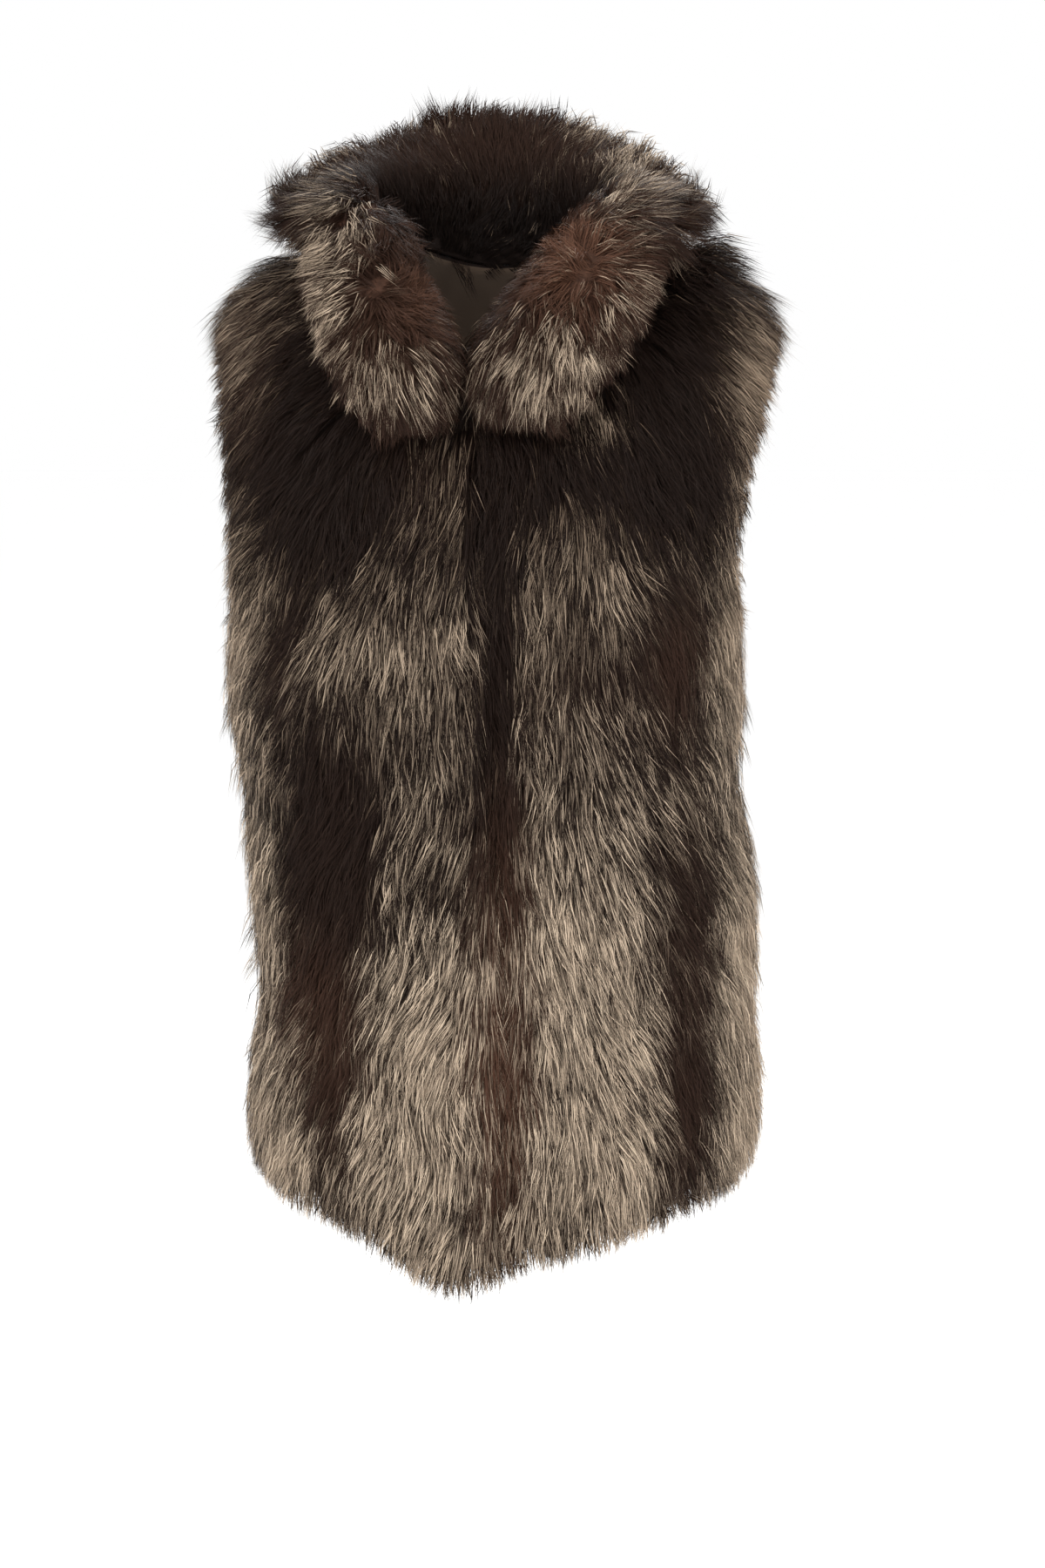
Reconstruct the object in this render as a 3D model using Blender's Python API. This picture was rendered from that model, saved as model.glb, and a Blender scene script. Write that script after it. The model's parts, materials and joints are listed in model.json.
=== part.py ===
"""A long-haired fur gilet in the hollow form it takes when it is worn: two fronts, a back, and a collar of
two faces. Each piece is a wall of pelt with the depth of its lying pile. Metres, +Z up, the front faces
-Y, and the origin lies between the shoulders at the base of the neck."""

import math

import bmesh
import bpy
import numpy as np

# Driving dimensions, in metres and degrees.
SEAM_GAP = 0.0003
PELT = 0.003  # the skin alone, as thick as the wall gets at a free edge
PILE = 0.0200  # what the lying hair adds to it
SQUARENESS = 2.6  # exponent of the body's sections, 2 would be an ellipse

KNEE_Z = -0.200  # above it the sections arch over to the shoulder seams
RIDGE_Z = 0.034  # the shoulder line at the neck, inside face
SHOULDER_DROP = 0.098  # how far that line falls to the tip of the shoulder
TIP_Z = -0.055
ARCH_RUN = 0.290  # cloth from the knee height to the shoulder line
UNDERARM = -0.055  # lowest point of the armhole, along the cloth from the knee height

NECK_SIDE = 33.0  # where the neckline meets the shoulder seam
TIP_SIDE = 80.0  # where the armhole meets the shoulder seam
# Centre of the neckline, along the cloth from the knee height, and its roundness: 2 is an ellipse in
# plan, and less comes nearer to a V.
NECKLINE = {True: (0.103, 1.40), False: (0.208, 2.0)}  # in front, behind

# The front of the neck opening lies over to the garment's right: how far, the half width of what moves,
# the heights between which that starts and is whole, and the depths between which it fades to the back.
NECK_OVER = 0.021
NECK_OVER_WIDTH = 0.085
NECK_OVER_Z = (-0.170, -0.050)
NECK_OVER_Y = (0.020, -0.045)

# How far inside a free edge the pile reaches its full depth.
HEM_RUN = 0.030
ARMHOLE_RUN = 0.028
NECK_RUN = 0.072
NECK_FLAT = 0.014  # the strip under the collar's seam where the pile lies flat
CLOSING_RUN = 0.016
# Share of the pile that is left at an edge, because the hair hangs over it.
CLOSING_LEFT = 0.50
HEM_LEFT = 0.15
ARMHOLE_LEFT = 0.35

# The body's sections, inside face: height, sideways shift, half width, depth in front, depth behind.
SECTIONS = (
    (-0.055, -0.003, 0.192, 0.124, 0.116),
    (-0.120, -0.009, 0.187, 0.127, 0.117),
    (-0.200, -0.013, 0.177, 0.130, 0.117),
    (-0.290, -0.012, 0.168, 0.126, 0.111),
    (-0.355, -0.009, 0.157, 0.118, 0.107),
    (-0.430, 0.000, 0.163, 0.118, 0.112),
    (-0.500, 0.003, 0.159, 0.121, 0.119),
    (-0.590, 0.001, 0.166, 0.126, 0.124),
    (-0.740, 0.001, 0.160, 0.130, 0.127),
)

# The hem: degrees from centre front towards the garment's left, height.
HEM = (
    (-180.0, -0.684),
    (-150.0, -0.682),
    (-115.0, -0.660),
    (-90.0, -0.645),
    (-66.0, -0.652),
    (-44.0, -0.668),
    (-30.0, -0.690),
    (-16.0, -0.711),
    (-6.0, -0.706),
    (0.0, -0.696),
    (8.0, -0.690),
    (25.0, -0.680),
    (42.0, -0.667),
    (60.0, -0.652),
    (90.0, -0.640),
    (115.0, -0.654),
    (150.0, -0.678),
    (180.0, -0.684),
)

# The armhole's edge: run along the cloth from the knee height, degrees from the centre.
ARMHOLE = (
    (UNDERARM, 90.0),
    (-0.051, 86.0),
    (-0.040, 81.5),
    (-0.018, 76.5),
    (0.020, 73.0),
    (0.080, 71.5),
    (0.150, 72.0),
    (0.220, 75.0),
    (ARCH_RUN, TIP_SIDE),
)

# Swells and troughs of the pile: degrees at the top and at the bottom, height of the top and of the
# bottom, half width in degrees, and depth, where a trough is below zero.
FOLDS = (
    (-62.0, -58.0, -0.330, -0.500, 9.0, -0.007),
    (-50.0, -54.0, -0.570, -0.720, 6.0, -0.008),
    (-48.0, -44.0, -0.080, -0.190, 16.0, -0.005),
    (-30.0, -30.0, -0.210, -0.320, 20.0, 0.005),
    (-24.0, -20.0, -0.420, -0.660, 12.0, 0.005),
    (-84.0, -84.0, -0.220, -0.560, 7.0, 0.004),
    (52.0, 60.0, -0.070, -0.210, 12.0, -0.006),
    (30.0, 34.0, -0.160, -0.290, 16.0, 0.005),
    (56.0, 52.0, -0.420, -0.640, 9.0, -0.007),
    (50.0, 46.0, -0.620, -0.740, 6.0, -0.008),
    (20.0, 22.0, -0.330, -0.640, 13.0, 0.005),
    (82.0, 84.0, -0.230, -0.600, 8.0, 0.004),
    (-128.0, -132.0, -0.100, -0.460, 9.0, -0.006),
    (-146.0, -142.0, -0.500, -0.740, 8.0, -0.007),
    (-156.0, -160.0, -0.150, -0.440, 13.0, 0.005),
    (132.0, 126.0, -0.120, -0.420, 10.0, -0.006),
    (146.0, 150.0, -0.480, -0.740, 8.0, -0.007),
    (160.0, 162.0, -0.200, -0.560, 13.0, 0.005),
    (180.0, 180.0, -0.060, -0.700, 5.0, -0.005),
    (-180.0, -180.0, -0.060, -0.700, 5.0, -0.005),
)

# The collar, from centre back to its front end: share of the neckline, lean of the stand at the seam,
# lean of its free edge, width from seam to edge, share of that width at which it folds, slant of its
# width towards the centre front, pile towards the neck, pile towards the shoulder. A lean of 0 goes
# straight on from the cloth of the body and one of 180 is folded back flat over it.
COLLAR = (
    (0.00, 68.0, 92.0, 0.118, 0.62, 0.0, 0.021, 0.018),
    (0.12, 72.0, 98.0, 0.117, 0.52, 0.0, 0.021, 0.018),
    (0.26, 80.0, 130.0, 0.099, 0.34, 0.0, 0.021, 0.018),
    (0.42, 90.0, 178.0, 0.072, 0.26, 0.0, 0.019, 0.015),
    (0.58, 90.0, 180.0, 0.075, 0.28, 0.0, 0.019, 0.014),
    (0.74, 90.0, 178.0, 0.094, 0.27, 2.0, 0.021, 0.013),
    (0.88, 90.0, 177.0, 0.100, 0.28, 14.0, 0.021, 0.013),
    (1.00, 90.0, 176.0, 0.092, 0.29, 52.0, 0.019, 0.012),
)
COLLAR_SIDE = 0.42  # share of the neckline from the centre back to the shoulder seam
COLLAR_END = 0.95  # share of the neckline at which the collar stops, short of the centre front
COLLAR_ROUND = 0.12  # share over which its front corner rounds off
COLLAR_BEND = 0.027  # half the length of its fold
COLLAR_LAP = 0.001  # how far its seam sits back on the body's neckline
COLLAR_SEAT = 0.0011  # from the pelt of the body up to the collar's seam
COLLAR_EDGE_RUN = 0.026  # from its free edge to where the pile reaches its full depth
COLLAR_SEAM_RUN = 0.050  # the same from its seam
COLLAR_SEAM_LEFT = 0.25
COLLAR_TIP_WIDTH = 0.35  # share of the width that is left at the front corner, before it rounds off
COLLAR_TIP_LEFT = 0.25
COLLAR_TIP_SOONER = 1.4  # the pile is full again this much sooner than the width
RIGHT_FULLER = 1.22  # the right side of the collar lies wider than the left
RIGHT_FULLER_FROM = 0.20  # from this share of the neckline, and fully after this run
RIGHT_FULLER_RUN = 0.30
NECK_MIDDLE = (-0.006, -0.030, 0.060)

COLUMNS = 14  # of a front, and of half the back
NECK_COLUMNS = 5  # of those, the ones that end on the neckline
ROWS_BELOW = 12  # from the hem to the underarm
ROWS_ABOVE = 15
CROWDING = 0.45  # how much closer the grid's lines lie towards a panel's edges
COLUMN_SWEEP = 1.6  # the columns bend late from upright towards the neckline and the shoulder seam
COLLAR_COLUMNS = 38
COLLAR_ROWS = 9

FUR_BROWN = (0.060, 0.045, 0.036, 1.0)
FUR_COLLAR = (0.115, 0.085, 0.066, 1.0)


def read(table, column, at):
    """A smooth curve through one column of a table, over its first column, level at both ends."""
    rows = sorted(table)
    places = np.array([row[0] for row in rows])
    values = np.array([row[column] for row in rows])
    at = min(max(at, places[0]), places[-1])
    i = int(min(max(np.searchsorted(places, at) - 1, 0), len(places) - 2))
    slopes = np.diff(values) / np.diff(places)
    bends = np.zeros(len(places))
    for k in range(1, len(places) - 1):
        if slopes[k - 1] * slopes[k] > 0:
            bends[k] = 2 / (1 / slopes[k - 1] + 1 / slopes[k])
    step = places[i + 1] - places[i]
    t = (at - places[i]) / step
    return float(
        (2 * t**3 - 3 * t**2 + 1) * values[i]
        + (t**3 - 2 * t**2 + t) * step * bends[i]
        + (3 * t**2 - 2 * t**3) * values[i + 1]
        + (t**3 - t**2) * step * bends[i + 1]
    )


def soft_step(t):
    t = min(max(t, 0.0), 1.0)
    return t * t * (3 - 2 * t)


def round_step(t):
    """Rises from 0 to 1 like a quarter of a circle."""
    t = min(max(t, 0.0), 1.0)
    return math.sqrt(1 - (1 - t) ** 2)


def edge_step(distance, whole, left):
    """Share of the pile at a distance from a free edge."""
    return left + (1 - left) * round_step(distance / whole)


def body_point(turn, run):
    """A point on the inside face. turn is in degrees from centre front, positive to the garment's left,
    and run is along the cloth from the knee height, up towards the shoulder line."""
    arch = math.radians(90 * max(run, 0) / ARCH_RUN)
    level = KNEE_Z + run if run < 0 else KNEE_Z + (TIP_Z - KNEE_Z) * math.sin(arch)
    shift, width, ahead, behind = (read(SECTIONS, k, level) for k in (1, 2, 3, 4))
    depth = ahead if abs(turn) < 90 else behind
    across, out = math.sin(math.radians(turn)), -math.cos(math.radians(turn))
    size = (abs(across / width) ** SQUARENESS + abs(out / depth) ** SQUARENESS) ** (-1 / SQUARENESS)
    x, y = size * across, size * out
    if run <= 0:
        return np.array((shift + x, y, level))
    ridge = RIDGE_Z - SHOULDER_DROP * (1 - (abs(y) / depth) ** (SQUARENESS / 2))
    return np.array((shift + x, y * math.cos(arch), KNEE_Z + (ridge - KNEE_Z) * math.sin(arch)))


def body_normal(turn, run):
    """The outward direction of the cloth there."""
    side = 1 if turn >= 0 else -1
    turn = side * min(abs(turn), 179.5)
    if 89.0 < abs(turn) < 91.0:  # front and back depths differ, so both sides of the seam look at one place
        turn = side * 90.0
    run = min(run, ARCH_RUN - 0.002)
    along = body_point(turn + 0.5, run) - body_point(turn - 0.5, run)
    up = body_point(turn, run + 0.001) - body_point(turn, run - 0.001)
    normal = np.cross(along, up)
    return normal / np.linalg.norm(normal)


def hem_run(turn):
    return read(HEM, 1, turn) - KNEE_Z


def armhole_turn(run):
    return 90.0 if run <= UNDERARM else read(ARMHOLE, 1, run)


ARC = math.radians(1) * 0.165  # metres of cloth to a degree, near enough for the edges' runs


def flat(turn, run):
    """The place on the cloth rolled out flat, for distances from the free edges."""
    return np.array((abs(turn) * ARC, run))


def neck_place(t, front):
    """The neckline, from the centre at 0 to the shoulder seam at 1: degrees from the centre, and run."""
    low, roundness = NECKLINE[front]
    arch = math.cos(math.radians(90 * low / ARCH_RUN))
    turned = math.radians(90 * t)
    across = math.sin(turned) ** (2 / roundness)
    ahead = max(math.cos(turned), 0) ** (2 / roundness)
    return NECK_SIDE * across, ARCH_RUN * math.degrees(math.acos(arch * ahead)) / 90


def neck_line(front):
    for k in range(NECK_COLUMNS * 4 + 1):
        turn, run = neck_place(k / (NECK_COLUMNS * 4), front)
        yield (turn if front else 180 - turn), run


def armhole_line(front):
    for k in range(41):
        run = UNDERARM + (ARCH_RUN - UNDERARM) * (k / 40) ** 2
        turn = armhole_turn(run)
        yield (turn if front else 180 - turn), run


ARMHOLES = {front: np.array([flat(*p) for p in armhole_line(front)]) for front in (True, False)}
NECKLINES = {front: np.array([flat(*p) for p in neck_line(front)]) for front in (True, False)}


def far_from(line, place):
    """Distance from a line of points, measured to its stretches."""
    start, step = line[:-1], np.diff(line, axis=0)
    along = ((place - start) * step).sum(1) / (step**2).sum(1)
    near = start + step * np.clip(along, 0, 1)[:, None]
    return float(np.sqrt(((place - near) ** 2).sum(1)).min())


def fold_at(turn, level):
    total = 0.0
    for top_turn, low_turn, top, low, width, depth in FOLDS:
        part = (top - level) / (top - low)
        if 0 < part < 1:
            middle = top_turn + (low_turn - top_turn) * part
            total += depth * math.sin(math.pi * part) * math.exp(-(((turn - middle) / width) ** 2))
    return total


def reach(turn, run, front):
    """Depth of the wall: the pelt, and the pile that thins out towards the free edges."""
    place = flat(turn, run)
    pile = PILE + fold_at(turn, body_point(turn, run)[2])
    pile *= edge_step(run - hem_run(turn), HEM_RUN, HEM_LEFT)
    pile *= edge_step(far_from(ARMHOLES[front], place), ARMHOLE_RUN, ARMHOLE_LEFT)
    pile *= soft_step((far_from(NECKLINES[front], place) - NECK_FLAT) / NECK_RUN)
    if front:
        pile *= edge_step(abs(turn) * ARC, CLOSING_RUN, CLOSING_LEFT)
    return PELT + pile


def crowd(share):
    """Brings the lines of a grid closer together towards its two ends."""
    return share - CROWDING * math.sin(2 * math.pi * share) / (2 * math.pi)


def top_of(share, front):
    """Where a column of a panel ends: on the neckline, or past the neck on the shoulder seam."""
    neck = NECK_COLUMNS / COLUMNS
    if share <= neck:
        return neck_place(share / neck, front)
    past = (share - neck) / (1 - neck)
    return NECK_SIDE + (TIP_SIDE - NECK_SIDE) * past ** (1 - CROWDING / 2), ARCH_RUN


def panel_place(side, share, rise, front):
    """Degrees from the panel's centre line, and run, for a share of its width and of its height."""
    below = ROWS_BELOW / (ROWS_BELOW + ROWS_ABOVE)
    spread = crowd(share)
    if rise <= below:
        turn = spread * 90
        low = hem_run(side * (turn if front else 180 - turn))
        return turn, low + (UNDERARM - low) * 2 * crowd(rise / below / 2)
    part = (rise - below) / (1 - below)
    end_turn, end_run = top_of(share, front)
    run = UNDERARM + (end_run - UNDERARM) * part
    turn = spread * armhole_turn(UNDERARM + (ARCH_RUN - UNDERARM) * part)
    return turn + (end_turn - turn) * part**COLUMN_SWEEP, run


def panel_point(side, share, rise, outer, front):
    """One point of a panel. side is 1 on the garment's left and -1 on its right."""
    turn, run = panel_place(side, share, rise, front)
    turn = side * (min(turn, 89.95) if front else 180 - min(turn, 89.95))
    run = min(run, ARCH_RUN * 0.9995)
    depth = reach(turn, run, front) if outer else 0.0
    x, y, z = body_point(turn, run) + body_normal(turn, run) * depth
    y = min(y, -SEAM_GAP / 2) if front else max(y, SEAM_GAP / 2)
    middle = body_point(0, run)[0]
    if front:
        x = middle + side * max(side * (x - middle), SEAM_GAP / 2)
    return x, y, z


def over_to_the_right(point):
    """Draws the front of the neck opening, and the collar with it, towards the garment's right."""
    x, y, z = point
    high = soft_step((z - NECK_OVER_Z[0]) / (NECK_OVER_Z[1] - NECK_OVER_Z[0]))
    ahead = soft_step((y - NECK_OVER_Y[0]) / (NECK_OVER_Y[1] - NECK_OVER_Y[0]))
    near = math.exp(-(((x - NECK_MIDDLE[0]) / NECK_OVER_WIDTH) ** 2))
    return x - NECK_OVER * high * ahead * near, y, z


def sheet_solid(name, columns, rows, place, collection, material):
    """A grid that is extruded into a closed wall, and whose points are then put in place."""
    bm = bmesh.new()
    bmesh.ops.create_grid(bm, x_segments=columns, y_segments=rows, size=0.5)
    made = bmesh.ops.extrude_face_region(bm, geom=bm.faces[:], use_keep_orig=True)
    for vert in made["geom"]:
        if isinstance(vert, bmesh.types.BMVert):
            vert.co.z = 1
    for vert in bm.verts:
        vert.co = over_to_the_right(place(vert.co.x + 0.5, vert.co.y + 0.5, vert.co.z > 0.5))
    bmesh.ops.recalc_face_normals(bm, faces=bm.faces[:])
    mesh = bpy.data.meshes.new(name)
    bm.to_mesh(mesh)
    bm.free()
    if signed_volume(mesh) < 0:
        mesh.flip_normals()
    mesh.shade_smooth()
    mesh.set_sharp_from_angle(angle=math.radians(50))
    mesh.materials.append(material)
    piece = bpy.data.objects.new(name, mesh)
    collection.objects.link(piece)
    return piece


def signed_volume(mesh):
    mesh.calc_loop_triangles()
    points = np.array([v.co[:] for v in mesh.vertices])
    corners = points[[t.vertices[:] for t in mesh.loop_triangles]]
    return float(np.linalg.det(corners).sum())


def neck_point(side, share):
    """The neckline in the round, from centre back at 0 to centre front at 1, and the cloth's direction."""
    if share < 0:
        side, share = -side, -share
    front = share > COLLAR_SIDE
    t = (1 - share) / (1 - COLLAR_SIDE) if front else share / COLLAR_SIDE
    turn, run = neck_place(t, front)
    turn, run = side * (turn if front else 180 - turn), min(run, ARCH_RUN - 0.001)
    return body_point(turn, run), body_normal(turn, run)


def collar_frame(side, share):
    """The seam point, and the directions into the neck opening, out of the cloth and to the front."""
    point, normal = neck_point(side, share)
    near = 0.05
    forward = neck_point(side, min(share + near, 1))[0] - neck_point(side, share - near)[0]
    forward -= normal * (forward @ normal)
    forward /= np.linalg.norm(forward)
    inward = np.cross(normal, forward)
    if inward @ (np.array(NECK_MIDDLE) - point) < 0:
        inward = -inward
    return point, inward, normal, forward


def collar_point(side, share, across, towards_neck, outer):
    """A point of the collar: along its neckline, across its width, and off its middle."""
    lean_in, lean_out, width, fold, slant, inner, under = (read(COLLAR, k, share) for k in range(1, 8))
    left = (COLLAR_END - share) / COLLAR_ROUND
    width *= COLLAR_TIP_WIDTH + (1 - COLLAR_TIP_WIDTH) * round_step(left)
    if side < 0:
        width *= 1 + (RIGHT_FULLER - 1) * soft_step((share - RIGHT_FULLER_FROM) / RIGHT_FULLER_RUN)
    point, inward, out, forward = collar_frame(side, share)
    slant = math.radians(slant)
    inward = math.cos(slant) * inward - math.sin(slant) * forward
    at = point + out * (PELT + COLLAR_SEAT) - inward * COLLAR_LAP
    steps = 24
    for k in range(steps):
        gone = (k + 0.5) / steps * across
        bent = soft_step((gone - fold) * width / COLLAR_BEND / 2 + 0.5)
        lean = math.radians(lean_in + (lean_out - lean_in) * bent)
        at = at + (math.cos(lean) * inward + math.sin(lean) * out) * width * across / steps
    thin = soft_step(COLLAR_SEAM_LEFT + width * across / COLLAR_SEAM_RUN)
    thin *= round_step(width * (1 - across) / COLLAR_EDGE_RUN)
    thin *= COLLAR_TIP_LEFT + (1 - COLLAR_TIP_LEFT) * round_step(left * COLLAR_TIP_SOONER)
    off = math.sin(lean) * inward - math.cos(lean) * out
    depth = SEAM_GAP + (PELT + (inner if towards_neck else under) * thin if outer else 0)
    return at + off * (depth if towards_neck else -depth)


def fur_material(name, colour):
    material = bpy.data.materials.new(name)
    material.use_nodes = True
    shader = material.node_tree.nodes["Principled BSDF"]
    shader.inputs["Base Color"].default_value = colour
    shader.inputs["Roughness"].default_value = 0.75
    shader.inputs["Metallic"].default_value = 0.0
    return material


def main():
    for old in list(bpy.data.objects):
        bpy.data.objects.remove(old)
    gilet = bpy.data.collections.new("fur_gilet")
    bpy.context.scene.collection.children.link(gilet)
    rows = ROWS_BELOW + ROWS_ABOVE
    for name, side in (("front_right", -1), ("front_left", 1)):
        sheet_solid(
            name,
            COLUMNS,
            rows,
            lambda a, b, outer, side=side: panel_point(side, a, b, outer, True),
            gilet,
            fur_material("fur_" + name, FUR_BROWN),
        )
    sheet_solid(
        "back",
        2 * COLUMNS,
        rows,
        lambda a, b, outer: panel_point(1 if a >= 0.5 else -1, abs(a - 0.5) * 2, b, outer, False),
        gilet,
        fur_material("fur_back", FUR_BROWN),
    )
    for name, towards_neck, colour in (("under_collar", False, FUR_BROWN), ("top_collar", True, FUR_COLLAR)):
        sheet_solid(
            name,
            COLLAR_COLUMNS,
            COLLAR_ROWS,
            lambda a, b, outer, towards_neck=towards_neck: collar_point(
                1 if a >= 0.5 else -1, abs(a - 0.5) * 2 * COLLAR_END, b, towards_neck, outer
            ),
            gilet,
            fur_material("fur_" + name, colour),
        )


main()
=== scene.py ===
import json
import math
import random

import bmesh
import bpy
import numpy as np
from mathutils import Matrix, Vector
from mathutils.bvhtree import BVHTree
from mathutils.kdtree import KDTree

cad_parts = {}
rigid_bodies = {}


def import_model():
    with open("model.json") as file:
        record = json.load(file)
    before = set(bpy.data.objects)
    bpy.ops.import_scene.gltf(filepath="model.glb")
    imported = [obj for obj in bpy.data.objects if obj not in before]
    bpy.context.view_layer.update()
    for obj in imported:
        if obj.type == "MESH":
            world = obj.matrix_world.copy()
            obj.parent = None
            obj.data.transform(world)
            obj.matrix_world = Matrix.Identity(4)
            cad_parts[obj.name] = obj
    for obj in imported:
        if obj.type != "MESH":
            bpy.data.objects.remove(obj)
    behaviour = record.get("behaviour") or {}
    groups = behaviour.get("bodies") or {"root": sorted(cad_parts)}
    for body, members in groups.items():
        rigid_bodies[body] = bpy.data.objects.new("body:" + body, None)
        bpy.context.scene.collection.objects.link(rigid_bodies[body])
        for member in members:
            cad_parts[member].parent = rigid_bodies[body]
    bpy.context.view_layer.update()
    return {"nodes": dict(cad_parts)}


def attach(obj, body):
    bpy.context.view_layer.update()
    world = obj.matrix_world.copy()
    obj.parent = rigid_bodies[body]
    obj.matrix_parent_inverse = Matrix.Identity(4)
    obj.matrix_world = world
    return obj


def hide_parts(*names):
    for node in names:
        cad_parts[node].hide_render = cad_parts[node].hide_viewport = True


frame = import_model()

nodes = frame["nodes"]

# camera, light and floor
camera = {
    "place": (0.0147, -3.6, -0.020),
    "aim": (0.0147, 0.0, -0.365),
    "lens": 113.0,
    "clipEnd": 200,
}
studio = {
    "floorHeight": -1.10,
    "floorSize": 60.0,
    "floorColour": (1.0, 1.0, 1.0, 1),
    "floorRoughness": 0.9,
    "floorSpecular": 0.1,
    "skyColour": (1.0, 1.0, 1.0, 1),
    "skyStrength": 1.0,
}
softBoxes = [
    {"place": (-2.4, -3.0, 1.7), "aim": (0, 0, -0.3), "size": 2.2, "watts": 150},
    {"place": (2.6, -2.6, 1.2), "aim": (0, 0, -0.3), "size": 2.2, "watts": 110},
    {"place": (0.3, 2.8, 2.2), "aim": (0, 0, -0.2), "size": 2.0, "watts": 90},
]


def pickOnly(*pieces):
    bpy.ops.object.select_all(action="DESELECT")
    for piece in pieces:
        piece.select_set(True)
    bpy.context.view_layer.objects.active = pieces[0]


def lookAt(thing, place, aim):
    thing.location = place
    thing.rotation_euler = (Vector(aim) - Vector(place)).to_track_quat("-Z", "Y").to_euler()


def buildStudio():
    bpy.ops.object.camera_add()
    cam = bpy.context.object
    cam.name = "photoCamera"
    lookAt(cam, camera["place"], camera["aim"])
    cam.data.lens = camera["lens"]
    cam.data.clip_end = camera["clipEnd"]
    bpy.context.scene.camera = cam

    for number, box in enumerate(softBoxes):
        bpy.ops.object.light_add(type="AREA")
        lamp = bpy.context.object
        lamp.name = f"softBox{number + 1}"
        lamp.data.size = box["size"]
        lamp.data.energy = box["watts"]
        lookAt(lamp, box["place"], box["aim"])

    bpy.ops.mesh.primitive_plane_add(size=studio["floorSize"], location=(0, 0, studio["floorHeight"]))
    floor = bpy.context.object
    floor.name = "studioFloor"
    bpy.ops.object.transform_apply(location=True, rotation=True, scale=True)
    paint = bpy.data.materials.new("paleFloor")
    paint.use_nodes = True
    shader = paint.node_tree.nodes["Principled BSDF"]
    shader.inputs["Base Color"].default_value = studio["floorColour"]
    shader.inputs["Roughness"].default_value = studio["floorRoughness"]
    shader.inputs["Specular IOR Level"].default_value = studio["floorSpecular"]
    floor.data.materials.append(paint)

    world = bpy.data.worlds.new("softSky")
    bpy.context.scene.world = world
    world.use_nodes = True
    sky = world.node_tree.nodes["Background"]
    sky.inputs["Color"].default_value = studio["skyColour"]
    sky.inputs["Strength"].default_value = studio["skyStrength"]
    bpy.context.scene.view_settings.view_transform = "Standard"
    print("studio ready")


# The fur's pattern. Each patch of a pelt is a soft ellipse on what the hair shows: its middle x and z,
# half width and half height in metres, tilt in degrees, and how much silver and rust it adds.
patchColumns = ("x", "z", "w", "h", "tilt", "silver", "rust")
frontPatches = [
    # the wearer's right front: shoulder, dark chest that is partly painted shadow under the collar's
    # lobe, silver below it, the dark stripe down to the hem
    (-0.185, -0.050, 0.030, 0.070, 0, 0.18, 0.15),
    (-0.122, -0.128, 0.052, 0.066, 0, -0.50, 0.00),
    (-0.120, -0.192, 0.040, 0.022, 0, -0.14, 0.00),
    (-0.054, -0.140, 0.022, 0.040, 0, 0.10, 0.04),
    (-0.090, -0.262, 0.058, 0.052, 0, 0.15, 0.00),
    (-0.190, -0.255, 0.026, 0.100, 0, 0.32, 0.00),
    (-0.172, -0.450, 0.022, 0.120, 0, 0.12, 0.00),
    (-0.146, -0.615, 0.018, 0.030, 0, 0.22, 0.00),
    (-0.150, -0.262, 0.013, 0.052, -8, -0.40, 0.05),
    (-0.120, -0.408, 0.033, 0.092, 0, -0.70, 0.05),
    (-0.124, -0.525, 0.030, 0.060, 10, -0.46, 0.28),
    (-0.119, -0.605, 0.019, 0.055, 0, -0.46, 0.10),
    (-0.160, -0.550, 0.020, 0.060, 0, -0.10, 0.10),
    (-0.045, -0.375, 0.028, 0.026, 0, -0.14, 0.00),
    (-0.040, -0.430, 0.032, 0.020, 0, -0.22, 0.00),
    (-0.062, -0.600, 0.036, 0.036, 0, 0.06, 0.00),
    # down the closing: dark above, rust and silver streaks below
    (-0.006, -0.240, 0.016, 0.140, 0, -0.50, 0.00),
    (0.004, -0.400, 0.018, 0.060, 0, -0.20, 0.15),
    (0.000, -0.560, 0.023, 0.120, 0, -0.42, 0.60),
    # the wearer's left front
    (0.126, -0.085, 0.038, 0.110, 0, -0.42, 0.00),
    (0.190, -0.060, 0.022, 0.100, 0, 0.12, 0.10),
    (0.178, -0.160, 0.022, 0.090, 0, 0.26, 0.00),
    (0.164, -0.070, 0.020, 0.060, 0, 0.20, 0.05),
    (0.172, -0.066, 0.016, 0.026, 0, 0.22, 0.00),
    # painted shadow under the collar's lobe
    (0.050, -0.135, 0.052, 0.034, 0, -0.32, 0.00),
    (0.064, -0.092, 0.024, 0.032, 0, 0.34, 0.00),
    (0.075, -0.195, 0.055, 0.030, 0, 0.10, 0.00),
    (0.055, -0.280, 0.050, 0.035, 0, -0.12, 0.05),
    (0.120, -0.265, 0.021, 0.050, 0, -0.36, 0.20),
    (0.160, -0.245, 0.018, 0.060, 0, 0.30, 0.00),
    (0.152, -0.330, 0.020, 0.070, 0, 0.16, 0.00),
    (0.129, -0.530, 0.023, 0.160, 0, -0.50, 0.12),
    (0.128, -0.590, 0.020, 0.036, 0, -0.20, 0.05),
    (0.180, -0.440, 0.022, 0.220, 0, 0.18, 0.00),
]
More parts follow.
